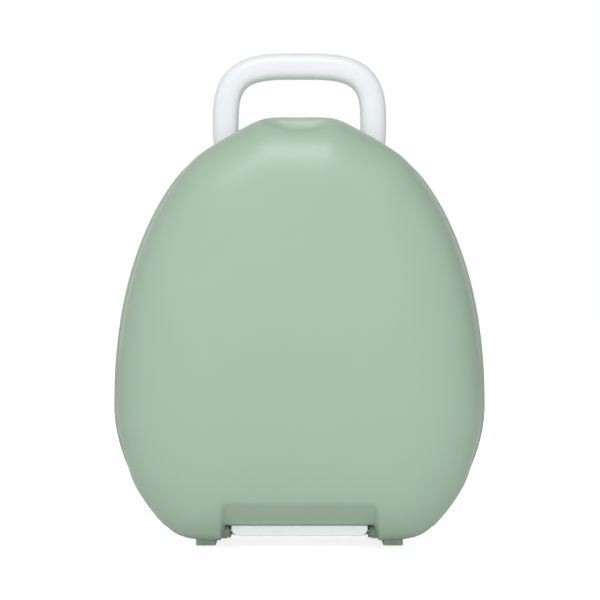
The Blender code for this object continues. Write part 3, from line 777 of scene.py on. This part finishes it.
def make_lid_seal():
    """A silicone ring with a rounded lip."""
    middle = seat_outline() - 8.0 * MM
    half = 2.5 * MM
    back_y = PARTING_Y - 0.9 * MM
    crown = 1.35 * MM
    rows = []
    for turn in np.radians(np.linspace(0, 180, 13)):
        lift = crown * abs(sin(turn)) ** 0.7
        rows.append(ring(middle + half * cos(turn), back_y + lift))
    return skin("lid_seal_fine", rows, first=False, last=False, looped=True)


# ---------------------------------------------------------------- base

def channel(grown):
    """The way of one handle leg through the base's shoulder, or with grown, its walls too."""
    front_y = PARTING_Y - 6 * MM
    back_y = SLOT_BACK_Y + 3 * grown
    return [
        (front_y, SLOT_FRONT_FLOOR_Z - grown),
        (SLOT_BEND_Y + grown * 0.3, SLOT_FRONT_FLOOR_Z - grown),
        (back_y, SLOT_BACK_FLOOR_Z - grown * 0.2),
        (back_y, SLOT_OPEN_Z),
        (front_y, SLOT_OPEN_Z),
    ]


def arch(grown):
    """The base's floor is raised behind the hinge bar, or with grown, the wall over it too."""
    return box(
        (-KNUCKLE_START - grown, PARTING_Y - 10 * MM, -PAST),
        (KNUCKLE_START + grown, ARCH_BACK_Y + grown, ARCH_Z + grown),
        edge=1.0 * MM,
    )


def base_outside():
    """The base's outer surface: the bead round its edge, then the dome with its flat back."""
    edge = outline()
    edge_y = PARTING_Y + HALF_GAP
    rows = [ring(edge - BEAD_EDGE, edge_y)]
    for turn in np.radians(np.linspace(0, 180, 17))[1:]:
        proud = BEAD_EDGE if turn < pi / 2 else BEAD_PROUD
        rows.append(ring(edge - proud * (1 - sin(turn)), edge_y + BEAD_HALF_DEPTH * (1 - cos(turn))))
    start = PARTING_Y + 6.5 * MM
    depth = BACK_Y + DOME_PAST_BACK - start
    rows += dome_rows(outline(BEAD_PROUD), start, depth, BASE_DEPTH_POWER, 90, BACK_Y)
    return skin("base_shell_fine", rows)


def base_inside():
    """The room inside the base: its mouth, a step out behind the seat's flange, and the dome."""
    room = 0.6 * MM
    mouth = outline(BASE_WALL, FLANGE_LOW_Z - room, FLANGE_HIGH_Z + room)
    behind_deck = outline(BEAD_PROUD + BASE_WALL, FLANGE_LOW_Z - room)
    inner = outline(BEAD_PROUD + BASE_WALL, CASE_FLOOR_Z + BASE_WALL)
    rows = [
        ring(mouth, PARTING_Y - 3 * MM),
        ring(mouth, PARTING_Y + 3.6 * MM),
        ring(behind_deck, PARTING_Y + 3.8 * MM),
        ring(behind_deck, PARTING_Y + 9.0 * MM),
    ]
    start = PARTING_Y + 9.2 * MM
    depth = BACK_Y - BASE_WALL + DOME_PAST_BACK - start
    rows += dome_rows(inner, start, depth, BASE_DEPTH_POWER, 40, BACK_Y - BASE_WALL)
    return skin("hollow", rows)


def spots(prefix):
    """Names and middles of the CAD nodes whose names start with prefix."""
    found = []
    for name in sorted(frame["nodes"]):
        if name.startswith(prefix):
            low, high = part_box(name)
            found.append((name, (low + high) / 2))
    return found


def rods_at(prefix, start_y, end_y, radius, sides=48):
    """A rod along Y through the middle of each CAD node whose name starts with prefix."""
    return [rod("Y", (middle.x, start_y, middle.z), end_y, radius, sides) for _, middle in spots(prefix)]


def handle_bores(start, end):
    """The bores of the handle's two pins, from start to end on each side of the middle."""
    return [rod("X", (side * start, PIVOT.y, PIVOT.z), side * end, HANDLE_PIN_BORE) for side in SIDES]


def feet():
    """The two square blocks that the base stands on."""
    blocks = []
    for side in SIDES:
        low_x, high_x = sorted((side * FOOT_X[0], side * FOOT_X[1]))
        blocks.append(box((low_x, FOOT_Y[0], 0.0), (high_x, FOOT_Y[1], FOOT_TOP_Z), edge=0.9 * MM))
    return blocks


def knuckles():
    """The round ears that hold the hinge pin."""
    ears = []
    for side in SIDES:
        start = (side * KNUCKLE_START, HINGE.y, HINGE.z)
        ears.append(rod("X", start, side * KNUCKLE_END, KNUCKLE_RADIUS, edge=2.6 * MM))
    return ears


def slots(wall):
    """The ways of the handle's two legs, or with wall, the walls round them too."""
    ways = []
    for side in SIDES:
        low_x, high_x = sorted((side * SLOT_X[0], side * SLOT_X[1]))
        ways.append(prism(low_x - wall, high_x + wall, channel(wall)))
    return ways


def make_base_shell():
    outside = base_outside()
    join(outside, *feet())
    join(outside, *knuckles())
    posts = rods_at("bowl_screw", BACK_Y - BASE_POST_HEIGHT, BACK_Y, BASE_POST_RADIUS)
    inside = cut(base_inside(), arch(BASE_WALL), *slots(SLOT_WALL), *posts)
    cut(outside, inside)
    cut(outside, *slots(0.0))
    pad_seats = rods_at("back_pad", BACK_Y - PAD_SEAT, BACK_Y + PAST, PAD_ROOM, 64)
    screw_bores = rods_at("bowl_screw", BACK_Y - 12 * MM, BACK_Y - 3 * MM, BOWL_SCREW_BORE)
    cut(outside, *handle_bores(30 * MM, 80 * MM), *pad_seats, *screw_bores)
    heads = rods_at("bowl_screw", BACK_Y - BASE_HEAD_DEPTH, BACK_Y + PAST, BASE_HEAD_ROOM)
    barrel_way = box(
        (-KNUCKLE_START, PARTING_Y - 10 * MM, -PAST),
        (KNUCKLE_START, PARTING_Y + 5.0 * MM, FLANGE_LOW_Z - 2.5 * MM),
    )
    cut(outside, *heads, barrel_way)
    cut(outside, arch(0.0))
    cut(outside, *[ear_corner(side) for side in SIDES])
    return cut(outside, rod("X", (-64 * MM, HINGE.y, HINGE.z), 64 * MM, PIN_BORE))


def ear_corner(side):
    """What is rounded off an ear's lower corner beside the hinge bar, as a hollow curve along Y."""
    reach = 5.2 * MM
    middle_x = KNUCKLE_START + reach
    middle_z = 10.4 * MM
    inner_x = 50 * MM
    under_z = 3.5 * MM
    corner = [(inner_x, middle_z), (inner_x, under_z), (middle_x, under_z)]
    for turn in np.radians(np.linspace(270, 180, 9)):
        corner.append((middle_x + reach * cos(turn), middle_z + reach * sin(turn)))
    depths = (PARTING_Y - 9 * MM, PARTING_Y + 4.8 * MM)
    return skin("ear_corner", [[(side * x, y, z) for x, z in corner] for y in depths])


def make_potty_bowl():
    """The seat's flange, its saddle with the splash guard, and the bowl's well.

    The saddle's rings are given by their share of the way from flange to mouth, their height and their share
    of the guard. The well's rings are given by their shares of the mouth and of the depth.
    """
    flange = seat_outline() - FLANGE_WIDTH
    mouth = ellipse(BOWL_HALF_X, BOWL_HALF_Z)
    from_top = (ANGLES - radians(90) + pi) % (2 * pi) - pi
    splash = np.exp(-((from_top / radians(SPLASH_SPREAD_DEG)) ** 2))
    face_y = PARTING_Y + 0.8 * MM
    saddle = [(0.0, 0.0, 0.0), (0.12, 1.6, 0.06), (0.3, 4.4, 0.5), (0.5, 5.8, 1.0), (0.68, 5.6, 1.0)]
    saddle += [(0.88, 2.4, 0.6), (1.0, -4.0, 0.12)]
    well = [(0.96, 0.3), (0.9, 0.62), (0.8, 0.86), (0.62, 1.0), (0.3, 1.0), (0.03, 1.0)]
    rings = [
        ring(flange + (mouth - flange) * share, face_y - height * MM - SPLASH_HEIGHT * guard * splash)
        for share, height, guard in saddle
    ]
    well_top = face_y + 4 * MM
    rings += [ring(mouth * share, well_top + (BOWL_FLOOR_Y - well_top) * deep) for share, deep in well]
    rim = [ring(seat_outline(), face_y), ring(seat_outline() - FLANGE_WIDTH * 0.6, face_y)]
    bowl = thicken(skin("potty_bowl_fine", rim + refined(rings, 7), first=False), BOWL_WALL, (0, -1, 0))
    join(bowl, *rods_at("bowl_screw", BOWL_FLOOR_Y + 1.2 * MM, BACK_Y - 8.4 * MM, BOWL_BOSS_RADIUS))
    return cut(bowl, *rods_at("bowl_screw", BOWL_FLOOR_Y + 3.6 * MM, BACK_Y, BOWL_SCREW_BORE))


# ---------------------------------------------------------------- handle

def handle_path():
    """Centre line as (x, z), from the left pivot over the bow to the right pivot."""
    right = []
    bow_steps = 29
    leg_steps = 14
    bend = 2 / HANDLE_CORNER_POWER
    for k in range(bow_steps + 1):
        t = radians(90 * k / bow_steps)
        right.append((HANDLE_HALF_SPAN * cos(t) ** bend, HANDLE_SPRING_Z + HANDLE_RISE * sin(t) ** bend))
    right.reverse()
    for k in range(1, leg_steps + 1):
        drop = (HANDLE_SPRING_Z - PIVOT.z) * k / leg_steps
        right.append((HANDLE_HALF_SPAN - HANDLE_TAPER * drop**2, HANDLE_SPRING_Z - drop))
    return [(-x, z) for x, z in reversed(right)] + right[1:]


def half_section(centre, along, wide, deep, front):
    """Half a rounded section, cut at the split with a small groove; its inner side is the squarer one."""
    sign = -1 if front else 1
    split = 0.15 * MM
    groove = 0.35 * MM
    outer_power, inner_power = 0.86, 0.7
    steps = 28
    points = []
    for k in range(steps + 1):
        t = pi * k / steps
        power = outer_power if cos(t) < 0 else inner_power
        across = wide * abs(cos(t)) ** power * (1 if cos(t) > 0 else -1)
        y = max(deep * sin(t) ** power, split)
        if k in (0, steps):
            across *= 1 - groove / wide
        points.append((across, sign * y))
    points += [(wide * s, sign * split) for s in (-0.6, 0.0, 0.6)]
    return [(centre[0] + along.y * a, PIVOT.y + y, centre[1] - along.x * a) for a, y in points]


def handle_stations():
    """Centre, direction and thinning of each section of the bow, its feet rounded about the pivots."""
    path = [Vector(point) for point in handle_path()]
    stations = []
    for i, centre in enumerate(path):
        along = (path[min(i + 1, len(path) - 1)] - path[max(i - 1, 0)]).normalized()
        upright = float(smooth_step(16 * MM, 0.0, centre.y - PIVOT.z))
        along = along.lerp(Vector((0, 1 if centre.x < 0 else -1)), upright).normalized()
        stations.append((centre, along, 1.0))
    for part in (0.25, 0.5, 0.7, 0.85, 0.95, 0.99):
        fall = Vector((0, -HANDLE_HALF_DEPTH * part))
        thin = sqrt(1 - part**2)
        stations.insert(0, (path[0] + fall, Vector((0, 1)), thin))
        stations.append((path[-1] + fall, Vector((0, -1)), thin))
    return stations


def make_handle_half(front):
    rows = []
    for centre, along, thin in handle_stations():
        wide = HANDLE_HALF_WIDTH - 0.6 * MM * (1 - thin)
        rows.append(half_section(centre, along, wide, HANDLE_HALF_DEPTH * thin, front))
    half = skin("handle_half", np.array(rows))
    holes = rods_at("handle_screw", PIVOT.y - 5.2 * MM, PIVOT.y + 3.3 * MM, HANDLE_SCREW_BORE, 24)
    cut(half, *handle_bores(35 * MM, 75 * MM), *holes)
    if not front:
        cut(half, *rods_at("handle_screw", PIVOT.y + 3.2 * MM, PIVOT.y + 12 * MM, HANDLE_HEAD_ROOM, 32))
    return half


# ---------------------------------------------------------------- small parts

def cross_recess(radius, depth, top):
    half_arm = radius * 0.22
    arms = []
    for turn in (0, 90):
        arm = box((-radius, -half_arm, top - depth), (radius, half_arm, top + 1 * MM))
        arms.append(placed(arm, Matrix.Rotation(radians(turn), 4, "Z"), Vector((0, 0, 0))))
    first, second = arms
    return join(first, second)


def make_screw(head, head_high, radius, length):
    """A pan-head screw along Z with a cross recess, its head's seat at the origin."""
    rounding = head_high * 0.75
    profile = [(0, head_high), (head * 0.35, head_high)]
    profile += round_corner(head - rounding, head_high * 0.25, rounding, 90, 0)
    profile += [(head, 0), (radius, 0), (radius, -length + radius), (radius * 0.3, -length), (0, -length)]
    return cut(turned("screw", profile, 48), cross_recess(head * 0.55, head_high * 0.5, head_high))


def make_back_pad(thick):
    """A rubber disc with two shallow grooves."""
    edge = 0.9 * MM
    profile = [(0, thick)]
    bottom = thick - 0.4 * MM
    for groove in (3.0 * MM, 5.8 * MM):
        profile += [(groove - 0.5 * MM, thick), (groove - 0.25 * MM, bottom)]
        profile += [(groove + 0.25 * MM, bottom), (groove + 0.5 * MM, thick)]
    profile += round_corner(PAD_RADIUS - edge, thick - edge, edge, 90, 0)
    profile += [(PAD_RADIUS, 0), (0, 0)]
    return turned("pad", profile, 96)


def make_handle_pin():
    """A pin along Z with a flat round head at its far end and a bevelled tip at its near end."""
    start, end, head = 34 * MM, 73 * MM, 1.5 * MM
    r = HANDLE_PIN_RADIUS
    profile = [(0, end + head)] + round_corner(r + 1.1 * MM, end + head - 0.5 * MM, 0.5 * MM, 90, 0)
    profile += [(r + 1.6 * MM, end), (r, end), (r, start + 0.6 * MM), (r - 0.6 * MM, start), (0, start)]
    return turned("pin", profile, 48)


# ---------------------------------------------------------------- the object

def build_object():
    show(make_lid_shell(), "lid_shell_fine", "lid", GREEN, ["lid_shell"])
    show(make_lid_liner(), "lid_liner_fine", "lid", LINER_WHITE, ["lid_liner"])
    show(make_lid_seal(), "lid_seal_fine", "lid", SILICONE, ["lid_seal"])
    show(make_base_shell(), "base_shell_fine", "base", GREEN, ["base_shell"])
    show(make_potty_bowl(), "potty_bowl_fine", "base", LINER_WHITE, ["potty_bowl"])
    hinge_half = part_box("hinge_pin")[1].x
    pin = rod("X", (-hinge_half, HINGE.y, HINGE.z), hinge_half, PIN_RADIUS, edge=0.5 * MM)
    show(pin, "hinge_pin_fine", "base", STEEL, ["hinge_pin"])
    for front, word in ((True, "front"), (False, "rear")):
        half = make_handle_half(front)
        show(half, f"handle_{word}_fine", "handle", WHITE, [f"handle_{word}_half"])
    to_back = Matrix.Rotation(radians(-90), 4, "X")
    for side, word in ((-1, "left"), (1, "right")):
        along_x = Matrix.Rotation(radians(90 * side), 4, "Y")
        pin = placed(make_handle_pin(), along_x, Vector((0, PIVOT.y, PIVOT.z)))
        show(pin, f"handle_pin_{word}_fine", "base", STEEL, [f"handle_pin_{word}"])
    for name, middle in spots("back_pad"):
        low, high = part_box(name)
        pad = placed(make_back_pad(high.y - low.y), to_back, Vector((middle.x, low.y, middle.z)))
        show(pad, name + "_fine", "base", RUBBER, [name])
    for name, middle in spots("bowl_screw"):
        seat = Vector((middle.x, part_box(name)[1].y - BOWL_SCREW["head_high"], middle.z))
        screw = placed(make_screw(**BOWL_SCREW), to_back, seat)
        show(screw, name + "_fine", "base", STEEL, [name])
    for name, middle in spots("handle_screw"):
        seat = Vector((middle.x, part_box(name)[1].y - HANDLE_SCREW["head_high"], middle.z))
        screw = placed(make_screw(**HANDLE_SCREW), to_back, seat)
        show(screw, name + "_fine", "handle", STEEL, [name])


# ---------------------------------------------------------------- studio

def make_floor_disc(name, z, colour, glow):
    disc_radius = 12.0
    mesh_data = bmesh.new()
    bmesh.ops.create_circle(mesh_data, cap_ends=True, segments=96, radius=disc_radius)
    floor = object_from_bmesh(name, mesh_data, outward=False)
    floor.location.z = z
    material = bpy.data.materials.new(name)
    material.use_nodes = True
    shader = material.node_tree.nodes["Principled BSDF"]
    shader.inputs["Base Color"].default_value = (colour, colour, colour, 1.0)
    shader.inputs["Roughness"].default_value = 0.9
    shader.inputs["Specular IOR Level"].default_value = 0.0
    shader.inputs["Emission Color"].default_value = (1.0, 1.0, 1.0, 1.0)
    shader.inputs["Emission Strength"].default_value = glow
    floor.data.materials.append(material)
    return floor


def make_floor():
    """A glowing floor that is only seen, over a plain one that only throws light back up."""
    seen = make_floor_disc("floor_seen", -0.5 * MM, 0.8, FLOOR_GLOW)
    seen.visible_diffuse = False
    seen.visible_glossy = False
    seen.visible_shadow = False
    bounce = make_floor_disc("floor_bounce", -1.0 * MM, FLOOR_BOUNCE, 0.0)
    bounce.visible_camera = False


def make_area_light(name, where, target, size, power):
    data = bpy.data.lights.new(name, "AREA")
    data.shape = "RECTANGLE"
    data.size, data.size_y = size
    data.energy = power
    light = bpy.data.objects.new(name, data)
    bpy.context.scene.collection.objects.link(light)
    light.location = where
    light.rotation_euler = (Vector(target) - Vector(where)).to_track_quat("-Z", "Y").to_euler()
    return light


def calculate(tree, operation, first, second):
    """The output of one sum; second is a number or another node's output."""
    node = tree.nodes.new("ShaderNodeMath")
    node.operation = operation
    tree.links.new(first, node.inputs[0])
    if isinstance(second, float):
        node.inputs[1].default_value = second
    else:
        tree.links.new(second, node.inputs[1])
    return node.outputs["Value"]


def make_world():
    """White all round for the camera. As light it is brightest straight behind, then in front, then at the
    left, and dimmest at the right.
    """
    world = bpy.data.worlds.new("studio")
    bpy.context.scene.world = world
    world.use_nodes = True
    tree = world.node_tree
    background = tree.nodes["Background"]
    slope = tree.nodes.new("ShaderNodeVectorMath")
    slope.operation = "DOT_PRODUCT"
    slope.inputs[1].default_value = SKY_SLOPE
    direction = tree.nodes.new("ShaderNodeTexCoord").outputs["Generated"]
    tree.links.new(direction, slope.inputs[0])
    parts = tree.nodes.new("ShaderNodeSeparateXYZ")
    tree.links.new(direction, parts.inputs[0])
    behind = calculate(tree, "MAXIMUM", parts.outputs["Y"], 0.0)
    behind = calculate(tree, "MULTIPLY", calculate(tree, "POWER", behind, 2.0), SKY_BEHIND)
    level = calculate(tree, "ADD", calculate(tree, "ADD", slope.outputs["Value"], SKY_MEAN), behind)
    choice = tree.nodes.new("ShaderNodeMix")
    choice.inputs["B"].default_value = 1.0
    tree.links.new(tree.nodes.new("ShaderNodeLightPath").outputs["Is Camera Ray"], choice.inputs["Factor"])
    tree.links.new(level, choice.inputs["A"])
    background.inputs["Color"].default_value = (1.0, 1.0, 1.0, 1.0)
    tree.links.new(choice.outputs["Result"], background.inputs["Strength"])


def make_camera():
    data = bpy.data.cameras.new("camera")
    data.sensor_width = 36.0
    distance = 1.15
    view_width = 0.462
    middle_x, middle_z = 0.0004, 0.1894
    data.lens = data.sensor_width / 2 / (view_width / 2 / distance)
    camera = bpy.data.objects.new("camera", data)
    bpy.context.scene.collection.objects.link(camera)
    camera.location = (middle_x, PARTING_Y - distance, middle_z)
    camera.rotation_euler = (radians(90), 0, 0)
    bpy.context.scene.camera = camera


def build_studio():
    make_floor()
    make_world()
    make_area_light("overhead", (-0.1, -1.07, 1.37), (0.0, -0.05, 0.28), (1.0, 0.5), 7.5)
    front_low = make_area_light("front_low", (0.0, -1.9, 0.3), (0.0, -0.05, 0.05), (1.6, 0.4), 10.0)
    front_low.visible_glossy = False
    back_fill = make_area_light("back_fill", (0.3, 1.9, 1.1), (0.0, 0.05, 0.2), (1.6, 1.2), 14.0)
    back_fill.visible_glossy = False
    make_camera()
    bpy.context.scene.view_settings.view_transform = "Standard"


build_object()
build_studio()
